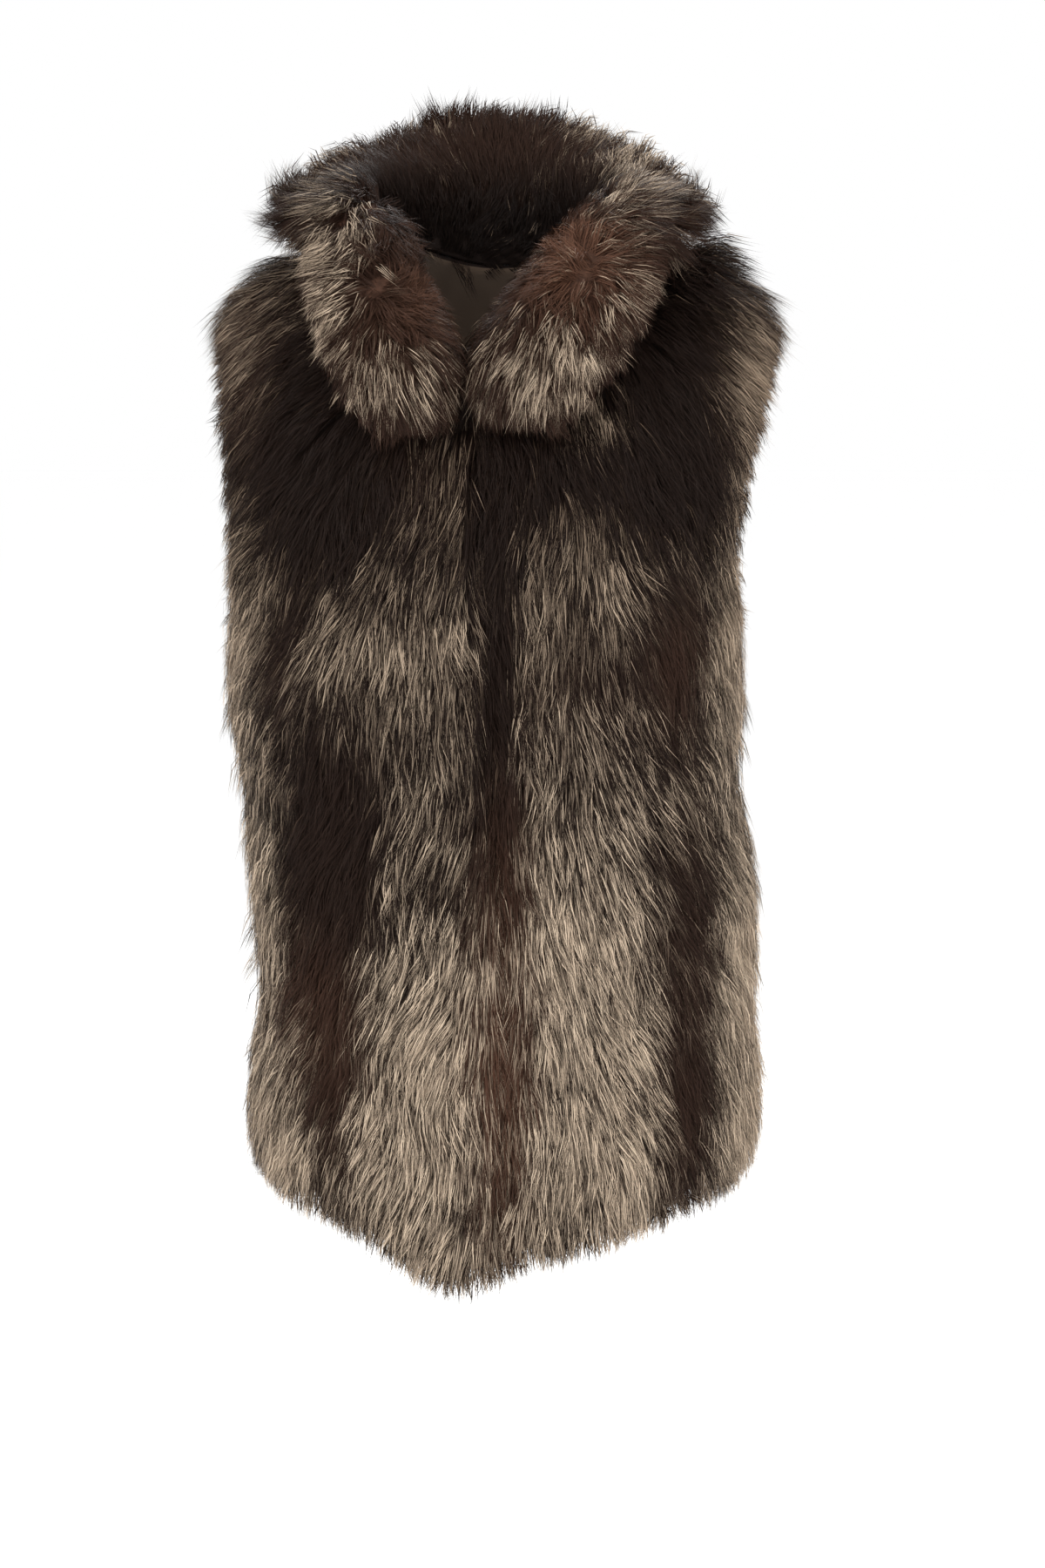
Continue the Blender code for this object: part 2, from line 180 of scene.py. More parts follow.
backPatches = [
    (-0.122, -0.150, 0.034, 0.130, 0, -0.55, 0.00),
    (0.120, -0.170, 0.036, 0.140, 0, -0.55, 0.00),
    (0.000, -0.060, 0.075, 0.050, 0, -0.40, 0.00),
    (-0.002, -0.220, 0.024, 0.140, 0, -0.45, 0.05),
    (0.004, -0.480, 0.022, 0.140, 0, -0.50, 0.10),
    (-0.118, -0.380, 0.028, 0.080, 0, -0.50, 0.10),
    (0.126, -0.400, 0.026, 0.070, 0, -0.45, 0.10),
    (-0.132, -0.550, 0.026, 0.090, 0, -0.55, 0.20),
    (0.120, -0.560, 0.028, 0.100, 0, -0.50, 0.20),
    (-0.064, -0.210, 0.036, 0.060, 0, 0.15, 0.00),
    (0.060, -0.240, 0.036, 0.070, 0, 0.12, 0.00),
    (-0.060, -0.330, 0.044, 0.020, 0, -0.20, 0.00),
    (0.064, -0.365, 0.044, 0.020, 0, -0.20, 0.00),
    (-0.185, -0.380, 0.024, 0.160, 0, 0.12, 0.00),
    (0.185, -0.400, 0.024, 0.160, 0, 0.12, 0.00),
]
collarPatches = [
    # the wearer's right lobe: its outer rim, lower rim, front corner and dark, rusty middle
    (-0.123, 0.006, 0.020, 0.065, 0, 0.32, 0.00),
    (-0.081, -0.066, 0.046, 0.028, 0, 0.24, 0.00),
    (-0.038, -0.072, 0.025, 0.030, 0, 0.04, 0.00),
    (-0.080, 0.034, 0.028, 0.060, 23, -0.46, 0.10),
    (-0.094, 0.064, 0.020, 0.024, 0, -0.36, 0.10),
    (-0.066, -0.022, 0.034, 0.026, 0, -0.12, 0.38),
    # the wearer's left lobe: rusty middle, silver lower half, right side, pale wisps beside the neck
    (0.050, 0.010, 0.036, 0.036, 0, -0.12, 1.00),
    (0.034, -0.062, 0.038, 0.036, 0, 0.42, 0.00),
    (0.082, 0.006, 0.022, 0.050, 0, 0.32, 0.00),
    (0.020, 0.046, 0.016, 0.018, 0, 0.12, 0.05),
    # painted shade: the lobes' lowest hair is darkened as the shadow beneath them, fading into the dark
    # chest
    (-0.078, -0.122, 0.060, 0.020, 0, -0.45, 0.00),
    (0.036, -0.122, 0.050, 0.020, 0, -0.45, 0.00),
    # round the back: silver at the rim's sides, dark inside and in the middle
    (-0.114, 0.096, 0.028, 0.026, 0, 0.30, 0.05),
    (-0.128, 0.045, 0.022, 0.040, 0, 0.20, 0.00),
    (0.102, 0.080, 0.030, 0.034, 0, 0.45, 0.05),
    (-0.011, 0.094, 0.062, 0.030, 0, -0.06, -0.12),
    (-0.003, 0.104, 0.012, 0.030, 0, -0.30, 0.00),
    (0.060, 0.108, 0.022, 0.018, 0, 0.26, 0.00),
]
pattern = {
    "patchEdge": 1.15,  # how sharply a patch ends
    "leastSilver": -0.6,
    "mostSilver": 1.1,
    # the body's own silver by height, before its patches
    "heights": (-0.74, -0.62, -0.56, -0.50, -0.46, -0.40, -0.34, -0.30, -0.26, -0.21, -0.17, -0.12),
    "silver": (0.50, 0.58, 0.60, 0.58, 0.53, 0.42, 0.32, 0.31, 0.35, 0.30, 0.22, 0.20),
    "collar": 0.13,  # the collar's own silver
    "innerShade": 0.22,  # painted shade: how much less silver shows deep inside the collar, where the hair faces the neck
    "rust": 0.05,
    "collarRust": 0.20,
    "collarPale": 0.92,  # how near to silver the pale hairs are, the rest is taupe
    "paleTop": 0.45,  # the same at the top of the body, down to where it starts to grow and is whole
    "paleFrom": -0.10,
    "paleFull": -0.45,
    "shown": 0.55,  # the share of a hair's length at which its colour shows
}
patchesOf = {
    "front_right": frontPatches,
    "front_left": frontPatches,
    "back": backPatches,
    "top_collar": collarPatches,
    "under_collar": [],
}


def patchSum(patches, places, what):
    total = np.zeros(len(places))
    for row in patches:
        patch = dict(zip(patchColumns, row))
        turned = math.radians(patch["tilt"])
        dx, dz = places[:, 0] - patch["x"], places[:, 2] - patch["z"]
        across = (dx * math.cos(turned) + dz * math.sin(turned)) / patch["w"]
        up = (dz * math.cos(turned) - dx * math.sin(turned)) / patch["h"]
        total += patch[what] * np.exp(-((across**2 + up**2) ** pattern["patchEdge"]))
    return total


def smoothShare(values, low, high):
    t = np.clip((np.asarray(values) - low) / (high - low), 0, 1)
    return t * t * (3 - 2 * t)


# the pelts
pelt = {
    "merge": 0.00002,
    "quadAngle": 35,  # degrees
    "quadShape": 60,
    "sharpAngle": 50,
    "axisX": -0.004,  # of the line inside the body that flesh sides face
    "axisTop": -0.160,
    "fleshFacing": -0.25,
    "skin": 0.0030,  # thickness of the hide
    "underfur": 0.50,  # share of the pile that is dense underfur
    "seamNear": 0.0015,  # a face this close to another panel lies in a seam
    "rimFree": 0.006,  # an edge further than this from other panels is a free rim
    "hemRise": 0.010,  # the hide ends this much above the hair's own hem
    "hemRun": 0.045,
    "hemBelow": -0.60,
}
bodyNodes = ("front_right", "front_left", "back")
collarNodes = ("top_collar", "under_collar")


def treeOf(piece, keep=None):
    mesh = piece.data
    corners = [v.co.copy() for v in mesh.vertices]
    faces = [list(f.vertices) for f in mesh.polygons if keep is None or keep[f.index]]
    return BVHTree.FromPolygons(corners, faces)


def mergedCopy(nodeName, pieceName):
    piece = bpy.data.objects.new(pieceName, nodes[nodeName].data.copy())
    piece.data.name = pieceName
    bpy.context.scene.collection.objects.link(piece)
    piece.data.materials.clear()
    pickOnly(piece)
    bpy.ops.object.mode_set(mode="EDIT")
    bpy.ops.mesh.select_all(action="SELECT")
    bpy.ops.mesh.remove_doubles(threshold=pelt["merge"])
    bpy.ops.mesh.tris_convert_to_quads(
        face_threshold=math.radians(pelt["quadAngle"]), shape_threshold=math.radians(pelt["quadShape"])
    )
    bpy.ops.mesh.select_all(action="DESELECT")
    bpy.ops.object.mode_set(mode="OBJECT")
    return piece


# true for each face on the hide's flesh side
def fleshFaces(piece, nodeName):
    found = []
    for face in piece.data.polygons:
        if nodeName in bodyNodes:
            axis = Vector((pelt["axisX"], 0, min(face.center.z, pelt["axisTop"])))
            found.append(face.normal.dot((face.center - axis).normalized()) < pelt["fleshFacing"])
        else:
            other = collarNodes[1 - collarNodes.index(nodeName)]
            found.append(nodeTrees[other].find_nearest(face.center)[3] < pelt["seamNear"])
    return found


# the other panels, but not a collar's own other face
def neighboursOf(nodeName):
    near = [name for name in nodes if name != nodeName and not {name, nodeName} <= set(collarNodes)]
    return [nodeTrees[name] for name in near]


# middles of the hide's free rims: hem, armholes and the collar's outer edge
def rimPoints(piece, flesh, nodeName):
    bm = bmesh.new()
    bm.from_mesh(piece.data)
    others, found = neighboursOf(nodeName), []
    for edge in bm.edges:
        sides = [flesh[face.index] for face in edge.link_faces]
        if len(sides) == 2 and sides[0] != sides[1]:
            middle = (edge.verts[0].co + edge.verts[1].co) / 2
            if min(tree.find_nearest(middle)[3] for tree in others) > pelt["rimFree"]:
                found.append(middle)
    bm.free()
    return found


def pointTree(points):
    tree = KDTree(len(points))
    for number, point in enumerate(points):
        tree.insert(point, number)
    tree.balance()
    return tree


# brings the wall's outer side in, from the hair's reach to the dense underfur
def thinToUnderfur(piece, flesh):
    mesh = piece.data
    fleshTree = treeOf(piece, flesh)
    fixed = {v for face in mesh.polygons if flesh[face.index] for v in face.vertices}
    for vert in mesh.vertices:
        if vert.index in fixed:
            continue
        spot, _, _, thick = fleshTree.find_nearest(vert.co)
        kept = min(thick, pelt["skin"]) + max(thick - pelt["skin"], 0) * pelt["underfur"]
        vert.co = spot + (vert.co - spot) * (kept / thick)


def raiseHem(piece):
    for vert in piece.data.vertices:
        gone = hemTree.find(vert.co)[2] / pelt["hemRun"]
        if gone < 1:
            vert.co.z += pelt["hemRise"] * (1 - gone)


# 0 is fur, 1 the flesh side and 2 a face that lies in a seam
def markSides(piece, flesh, nodeName):
    side = piece.data.attributes.new("side", "INT", "FACE")
    others = neighboursOf(nodeName)
    for face in piece.data.polygons:
        inSeam = min(tree.find_nearest(face.center)[3] for tree in others) < pelt["seamNear"]
        side.data[face.index].value = 1 if flesh[face.index] else 2 if inSeam else 0


def creaseAndSmooth(piece):
    pickOnly(piece)
    bpy.ops.object.mode_set(mode="EDIT")
    bpy.ops.mesh.select_mode(type="EDGE")
    bpy.ops.mesh.select_all(action="DESELECT")
    bpy.ops.mesh.edges_select_sharp(sharpness=math.radians(pelt["sharpAngle"]))
    bpy.ops.transform.edge_crease(value=1)
    bpy.ops.mesh.select_all(action="DESELECT")
    bpy.ops.object.mode_set(mode="OBJECT")
    smooth = piece.modifiers.new("soften", "SUBSURF")
    smooth.levels = smooth.render_levels = 1
    bpy.ops.object.modifier_apply(modifier=smooth.name)
    bpy.ops.object.shade_smooth_by_angle(angle=math.radians(pelt["sharpAngle"]))


# materials
furColours = {
    "dark": (0.0046, 0.0031, 0.0026, 1),
    "brown": (0.0145, 0.0088, 0.0068, 1),
    "rust": (0.078, 0.037, 0.023, 1),
    "taupe": (0.120, 0.079, 0.051, 1),
    "silver": (0.57, 0.456, 0.340, 1),
    "suedeDeep": (0.060, 0.040, 0.027, 1),
    "suede": (0.088, 0.060, 0.041, 1),
}
hairTone = {  # where along the hair each tone starts and is whole
    "silverFrom": {"body": 0.14, "collar": 0.32},
    "silverFull": {"body": 0.40, "collar": 0.60},
    "tipFrom": 0.72,  # where the silver ends, in the lock in which it ends first
    "tipSpread": 0.55,
    "tipRun": 0.14,
    # how much of a hair's chance of silver is its own and not its lock's, and the chance at which silver
    # starts and is whole
    "strandShare": {"body": 0.76, "collar": 0.55},
    "chanceLow": {"body": 0.72, "collar": 0.84},
    "chanceHigh": {"body": 1.24, "collar": 1.13},
    "brownShare": 0.4,
    "silverLow": -0.15,  # the pattern's silver where pale hairs are all taupe, and where they are silver
    "silverHigh": 0.70,
    "roughness": 0.5,
    "specular": 0.04,
}
underfurLook = {
    "grain": 160.0,
    "detail": 4.0,
    "bump": 0.6,
    "bumpDepth": 0.002,
    "roughness": 0.9,
    "specular": 0.1,
    "warmFrom": -0.02,  # y at which its warmest colour starts and is whole
    "warmFull": -0.06,
}
suedeLook = {
    "nap": 900.0,
    "napDetail": 3.0,
    "cloud": 22.0,
    "cloudDetail": 2.0,
    "bump": 0.35,
    "bumpDepth": 0.0004,
    "roughness": 0.88,
    "sheen": 0.08,
    "sheenRoughness": 0.5,
    "specular": 0.2,
}


def nodeMaterial(name):
    material = bpy.data.materials.new(name)
    material.use_nodes = True
    tree = material.node_tree
    shader = tree.nodes["Principled BSDF"]

    def node(kind, **settings):
        made = tree.nodes.new(kind)
        for key, value in settings.items():
            if key in made.inputs.keys():
                made.inputs[key].default_value = value
            else:
                setattr(made, key, value)
        return made

    def join(start, end):
        tree.links.new(start, end)

    return material, shader, node, join


def attributeOf(node, name):
    return node("ShaderNodeAttribute", attribute_name=name).outputs["Fac"]


def rangeOf(node, join, value, low, high):
    made = node("ShaderNodeMapRange", interpolation_type="SMOOTHSTEP")
    join(value, made.inputs["Value"])
    for key, number in (("From Min", low), ("From Max", high)):
        if isinstance(number, (int, float)):
            made.inputs[key].default_value = number
        else:
            join(number, made.inputs[key])
    return made.outputs["Result"]


def mathOf(node, join, how, *values):
    made = node("ShaderNodeMath", operation=how)
    for key, value in enumerate(values):
        if isinstance(value, (int, float)):
            made.inputs[key].default_value = value
        else:
            join(value, made.inputs[key])
    return made.outputs["Value"]


def mixOf(node, join, share, first, second):
    made = node("ShaderNodeMix", data_type="RGBA")
    join(share, made.inputs["Factor"])
    for key, value in (("A", first), ("B", second)):
        socket = [s for s in made.inputs if s.name == key and s.type == "RGBA"][0]
        if isinstance(value, tuple):
            socket.default_value = value
        else:
            join(value, socket)
    return [s for s in made.outputs if s.type == "RGBA"][0]


def hairMaterial(where):
    material, shader, node, join = nodeMaterial(where + "Hair")
    along, strand, lock, silver, rust, pale = (
        attributeOf(node, key) for key in ("along", "strand", "lock", "silver", "rust", "pale")
    )
    strandShare = hairTone["strandShare"][where]
    own = mathOf(node, join, "MULTIPLY", strand, strandShare)
    chance = mathOf(node, join, "MULTIPLY_ADD", lock, 1 - strandShare, own)
    likely = mathOf(node, join, "ADD", silver, chance)
    amount = rangeOf(node, join, likely, hairTone["chanceLow"][where], hairTone["chanceHigh"][where])
    # silver along the hair: none at its root and, in some locks, none at its tip
    band = rangeOf(node, join, along, hairTone["silverFrom"][where], hairTone["silverFull"][where])
    tipStart = mathOf(node, join, "MULTIPLY_ADD", lock, hairTone["tipSpread"], hairTone["tipFrom"])
    tipEnd = mathOf(node, join, "ADD", tipStart, hairTone["tipRun"])
    body = mathOf(node, join, "SUBTRACT", 1.0, rangeOf(node, join, along, tipStart, tipEnd))
    amount = mathOf(node, join, "MULTIPLY", amount, mathOf(node, join, "MULTIPLY", band, body))
    brownness = mathOf(node, join, "MULTIPLY", strand, hairTone["brownShare"])
    ground = mixOf(node, join, brownness, furColours["dark"], furColours["brown"])
    ground = mixOf(node, join, rust, ground, furColours["rust"])
    level = rangeOf(node, join, silver, hairTone["silverLow"], hairTone["silverHigh"])
    paleness = mathOf(node, join, "MULTIPLY", mathOf(node, join, "MULTIPLY", chance, level), pale)
    shine = mixOf(node, join, paleness, furColours["taupe"], furColours["silver"])
    join(mixOf(node, join, amount, ground, shine), shader.inputs["Base Color"])
    shader.inputs["Roughness"].default_value = hairTone["roughness"]
    shader.inputs["Specular IOR Level"].default_value = hairTone["specular"]
    return material


def underfurMaterial(name, warmest):
    material, shader, node, join = nodeMaterial(name)
    place = node("ShaderNodeTexCoord").outputs["Object"]
    grain = node("ShaderNodeTexNoise", Scale=underfurLook["grain"], Detail=underfurLook["detail"])
    join(place, grain.inputs["Vector"])
    fur = mixOf(node, join, grain.outputs["Fac"], furColours["dark"], furColours["brown"])
    warm = mixOf(node, join, grain.outputs["Fac"], furColours["dark"], furColours[warmest])
    axes = node("ShaderNodeSeparateXYZ")
    join(place, axes.inputs["Vector"])
    front = rangeOf(node, join, axes.outputs["Y"], underfurLook["warmFrom"], underfurLook["warmFull"])
    join(mixOf(node, join, front, fur, warm), shader.inputs["Base Color"])
    bump = node("ShaderNodeBump", Strength=underfurLook["bump"], Distance=underfurLook["bumpDepth"])
    join(grain.outputs["Fac"], bump.inputs["Height"])
    join(bump.outputs["Normal"], shader.inputs["Normal"])
    shader.inputs["Roughness"].default_value = underfurLook["roughness"]
    shader.inputs["Specular IOR Level"].default_value = underfurLook["specular"]
    return material


def suedeMaterial(name):
    material, shader, node, join = nodeMaterial(name)
    place = node("ShaderNodeTexCoord").outputs["Object"]
    nap = node("ShaderNodeTexNoise", Scale=suedeLook["nap"], Detail=suedeLook["napDetail"])
    cloud = node("ShaderNodeTexNoise", Scale=suedeLook["cloud"], Detail=suedeLook["cloudDetail"])
    join(place, nap.inputs["Vector"])
    join(place, cloud.inputs["Vector"])
    tone = mixOf(node, join, cloud.outputs["Fac"], furColours["suedeDeep"], furColours["suede"])
    join(tone, shader.inputs["Base Color"])
    bump = node("ShaderNodeBump", Strength=suedeLook["bump"], Distance=suedeLook["bumpDepth"])
    join(nap.outputs["Fac"], bump.inputs["Height"])
    join(bump.outputs["Normal"], shader.inputs["Normal"])
    shader.inputs["Roughness"].default_value = suedeLook["roughness"]
    shader.inputs["Sheen Weight"].default_value = suedeLook["sheen"]
    shader.inputs["Sheen Roughness"].default_value = suedeLook["sheenRoughness"]
    shader.inputs["Specular IOR Level"].default_value = suedeLook["specular"]
    return material


# locks of hair, each modelled once
lockShape = {
    "seed": 100,
    "length": 0.040,
    "rootRun": 0.006,
    "rise": 0.0085,  # of the tips over the roots
    "riseChance": (0.5, 1.25),
    "riseBend": 0.62,
    "riseOver": 1.15,  # the hair is highest a little before its tip
    "riseMost": 1.25,
    "droop": 0.12,
    "rootSunk": -0.1,
    "roll": 32.0,
    "thickChance": (0.75, 1.25),
    "tipSpread": 0.0012,
    "tipLate": 1.4,  # how late along the hair it leaves its root's line
    "wave": 0.0014,
}
hairKinds = {  # places along the hair, its widths there, and its full width
    "under": {"stations": (0.0, 1.0), "widths": (1.0,), "width": 0.00088},
    "fine": {"stations": (0.0, 0.50, 1.0), "widths": (0.85, 1.0), "width": 0.00047},
    "guard": {"stations": (0.0, 0.34, 0.70, 1.0), "widths": (0.70, 1.0, 0.70), "width": 0.00056},
}
lockKinds = [  # half spread of the roots, share of it left at the tips, uneven lengths, sideways bend
    {"hair": "fine", "hairs": 12, "spread": 0.0044, "tips": 0.55, "uneven": 0.16, "bend": 0.003},
    {"hair": "fine", "hairs": 12, "spread": 0.0050, "tips": 0.45, "uneven": 0.14, "bend": -0.004},
    {"hair": "fine", "hairs": 12, "spread": 0.0038, "tips": 0.70, "uneven": 0.18, "bend": -0.001},
    {"hair": "fine", "hairs": 11, "spread": 0.0046, "tips": 0.60, "uneven": 0.20, "bend": 0.005},
    {"hair": "guard", "hairs": 7, "spread": 0.0060, "tips": 0.90, "uneven": 0.22, "bend": 0.001},
    {"hair": "under", "hairs": 30, "spread": 0.0080, "tips": 1.00, "uneven": 0.25, "bend": 0.000},
]


# one flat hair along +X, from a grid whose far end is merged to a point
def modelHair(name):
    kind = hairKinds[name]
    parts = len(kind["widths"])
    bpy.ops.mesh.primitive_grid_add(x_subdivisions=parts, y_subdivisions=1, size=1, location=(0.5, 0, 0))
    hair = bpy.context.object
    hair.name = name
    bpy.ops.object.transform_apply(location=True, rotation=True, scale=True)
    bpy.ops.object.mode_set(mode="EDIT")
    bpy.ops.mesh.select_mode(type="VERT")
    bpy.ops.mesh.select_all(action="DESELECT")
    bpy.ops.object.mode_set(mode="OBJECT")
    for vert in hair.data.vertices:
        row = round(vert.co.x * parts)
        vert.co.x = kind["stations"][row]
        vert.co.y *= kind["widths"][row] * kind["width"] if row < parts else 0
        vert.select = row == parts
    bpy.ops.object.mode_set(mode="EDIT")
    bpy.ops.mesh.merge(type="CENTER")
    bpy.ops.object.mode_set(mode="OBJECT")
    return hair


def riseAt(t):
    if t <= 0:
        return lockShape["rootSunk"]
    arch = math.sin(math.pi / 2 * min(lockShape["riseOver"] * t, lockShape["riseMost"]))
    return arch ** lockShape["riseBend"] * (1 - lockShape["droop"] * t)


def modelLock(number, kind, hair, collection):
    chance = random.Random(lockShape["seed"] + number)
    hairs = []
    for _ in range(kind["hairs"]):
        mesh = hair.data.copy()
        one = bpy.data.objects.new("hair", mesh)
        bpy.context.scene.collection.objects.link(one)
        rootX = chance.uniform(-1, 1) * lockShape["rootRun"]
        rootY = chance.uniform(-1, 1) * kind["spread"]
        long = lockShape["length"] * (1 + chance.uniform(-1, 1) * kind["uneven"])
        tipY = rootY * kind["tips"] + chance.uniform(-1, 1) * lockShape["tipSpread"]
        rise = lockShape["rise"] * chance.uniform(*lockShape["riseChance"])
        wave = chance.uniform(-1, 1) * lockShape["wave"]
        roll = math.radians(chance.uniform(-1, 1) * lockShape["roll"])
        thick = chance.uniform(*lockShape["thickChance"])
        strand = mesh.attributes.new("strand", "FLOAT", "POINT")
        along = mesh.attributes.new("along", "FLOAT", "POINT")
        own = chance.random()
        for vert in mesh.vertices:
            t, off = vert.co.x, vert.co.y * thick
            along.data[vert.index].value = t
            strand.data[vert.index].value = own
            middle = rootY + (tipY - rootY) * t ** lockShape["tipLate"]
            middle += wave * math.sin(math.pi * t) + kind["bend"] * t * t
            up = rise * riseAt(t)
            vert.co = (rootX + long * t, middle + off * math.cos(roll), up + off * math.sin(roll))
        hairs.append(one)
    pickOnly(*hairs)
    bpy.ops.object.join()
    lock = hairs[0]
    lock.name = lock.data.name = f"lock{number}"
    collection.objects.link(lock)
    bpy.context.scene.collection.objects.unlink(lock)


def modelLocks():
    collection = bpy.data.collections.new("locks")
    bpy.context.scene.collection.children.link(collection)
    hairs = {name: modelHair(name) for name in hairKinds}
    for number, kind in enumerate(lockKinds):
        modelLock(number, kind, hairs[kind["hair"]], collection)
    for hair in hairs.values():
        bpy.data.objects.remove(hair)
    return collection


# growing the hair
growth = {
    "flowScale": 15.0,  # of the slow waves in the hair's direction
    "flow": 1.5,
    "ruffleScale": 60.0,
    "ruffle": 0.45,
    "streakScale": 125.0,
    "streakLong": 0.30,
    "streak": 0.75,
    "mottleScale": 26.0,
    "mottle": 0.42,
    # chance turns about the lock's own length, its width and the hide's normal, and its chance sizes
    "swing": (0.11, 0.07, 0.20),
    "long": (0.86, 1.08),
    "wide": (0.8, 1.2),
    "high": (0.6, 1.5),
}


def growthTree(locks, material):
    tree = bpy.data.node_groups.new("growHair", "GeometryNodeTree")
    for label, kind in (("Roots", "Geometry"), ("Locks per m2", "Float"), ("Seed", "Int")):
        tree.interface.new_socket(label, in_out="INPUT", socket_type="NodeSocket" + kind)
    tree.interface.new_socket("Hair", in_out="OUTPUT", socket_type="NodeSocketGeometry")

    def node(kind, **settings):
        made = tree.nodes.new(kind)
        for key, value in settings.items():
            setattr(made, key, value)
        return made

    def join(start, end):
        tree.links.new(start, end)

    def shown(sockets, name):
        return [s for s in sockets if s.enabled and s.name == name][0]

    def named(name, kind="FLOAT"):
        made = node("GeometryNodeInputNamedAttribute", data_type=kind)
        made.inputs["Name"].default_value = name
        return shown(made.outputs, "Attribute")

    def fill(made, values):
        for key, value in enumerate(values):
            if isinstance(value, (int, float, tuple)):
                made.inputs[key].default_value = value
            else:
                join(value, made.inputs[key])
        return made.outputs[0]

    def mathOn(how, *values):
        return fill(node("ShaderNodeMath", operation=how), values)

    def vectorOn(how, *values):
        return fill(node("ShaderNodeVectorMath", operation=how), values)

    def scaled(vector, by):
        made = node("ShaderNodeVectorMath", operation="SCALE")
        join(vector, made.inputs[0])
        if isinstance(by, (int, float)):
            made.inputs["Scale"].default_value = by
        else:
            join(by, made.inputs["Scale"])
        return made.outputs[0]

    def noise(vector, scale, detail):
        made = node("ShaderNodeTexNoise")
        made.inputs["Scale"].default_value = scale
        made.inputs["Detail"].default_value = detail
        join(vector, made.inputs["Vector"])
        return made

    def chance(ends, seed, kind="FLOAT"):
        made = node("FunctionNodeRandomValue", data_type=kind)
        for name, value in zip(("Min", "Max"), ends):
            shown(made.inputs, name).default_value = value
        join(mathOn("ADD", entry.outputs["Seed"], seed), made.inputs["Seed"])
        return shown(made.outputs, "Value")

    def store(geometry, name, value, domain):
        made = node("GeometryNodeStoreNamedAttribute", data_type="FLOAT", domain=domain)
        join(geometry, made.inputs["Geometry"])
        made.inputs["Name"].default_value = name
        join(value, shown(made.inputs, "Value"))
        return made.outputs[0]

    entry, leave = node("NodeGroupInput"), node("NodeGroupOutput")
    place = node("GeometryNodeInputPosition").outputs[0]
    scatter = node("GeometryNodeDistributePointsOnFaces", distribute_method="RANDOM")
    join(entry.outputs["Roots"], scatter.inputs["Mesh"])
    join(mathOn("MULTIPLY", entry.outputs["Locks per m2"], named("thick")), scatter.inputs["Density"])
    join(entry.outputs["Seed"], scatter.inputs["Seed"])

    # the comb's direction, in slow waves and a little ruffled
    lie = named("comb", "FLOAT_VECTOR")
    for wave in ("flow", "ruffle"):
        waves = noise(place, growth[wave + "Scale"], 1.0).outputs["Color"]
        centred = vectorOn("SUBTRACT", waves, (0.5, 0.5, 0.5))
        lie = vectorOn("ADD", lie, scaled(centred, mathOn("MULTIPLY", named("wild"), growth[wave])))
    # streaks of silver that run with the hair
    stretched = vectorOn("MULTIPLY", place, (1.0, 1.0, growth["streakLong"]))
    uneven = mathOn("SUBTRACT", noise(stretched, growth["streakScale"], 2.0).outputs[0], 0.5)
    tone = mathOn("MULTIPLY_ADD", uneven, growth["streak"], named("silver"))
    mottled = mathOn("SUBTRACT", noise(place, growth["mottleScale"], 1.0).outputs[0], 0.5)
    tone = mathOn("MULTIPLY_ADD", mottled, growth["mottle"], tone)
    roots = store(scatter.outputs["Points"], "silver", tone, "POINT")

    frameOf = node("FunctionNodeAxesToRotation", primary_axis="Z", secondary_axis="X")
    join(scatter.outputs["Normal"], frameOf.inputs[0])
    join(lie, frameOf.inputs[1])
    turn = node("FunctionNodeRotateRotation", rotation_space="LOCAL")
    join(frameOf.outputs[0], turn.inputs[0])
    swing = node("FunctionNodeEulerToRotation")
    low = tuple(-angle for angle in growth["swing"])
    join(scaled(chance((low, growth["swing"]), 1, "FLOAT_VECTOR"), named("wild")), swing.inputs[0])
    join(swing.outputs[0], turn.inputs[1])

    size = node("ShaderNodeCombineXYZ")
    join(mathOn("MULTIPLY", named("long"), chance(growth["long"], 2)), size.inputs[0])
    join(chance(growth["wide"], 3), size.inputs[1])
    join(mathOn("MULTIPLY", named("loft"), chance(growth["high"], 4)), size.inputs[2])

    pick = node("GeometryNodeCollectionInfo", transform_space="ORIGINAL")
    pick.inputs["Collection"].default_value = locks
    pick.inputs["Separate Children"].default_value = True
    pick.inputs["Reset Children"].default_value = True
    planted = node("GeometryNodeInstanceOnPoints")
    join(roots, planted.inputs["Points"])
    join(pick.outputs[0], planted.inputs["Instance"])
    planted.inputs["Pick Instance"].default_value = True
    join(chance((0, len(lockKinds) - 1), 5, "INT"), planted.inputs["Instance Index"])
    join(turn.outputs[0], planted.inputs["Rotation"])
    join(size.outputs[0], planted.inputs["Scale"])
    whole = node("GeometryNodeRealizeInstances")
    join(store(planted.outputs[0], "lock", chance((0.0, 1.0), 6), "INSTANCE"), whole.inputs[0])
    dress = node("GeometryNodeSetMaterial")
    join(whole.outputs[0], dress.inputs["Geometry"])
    dress.inputs["Material"].default_value = material
    join(dress.outputs[0], leave.inputs[0])
    return tree


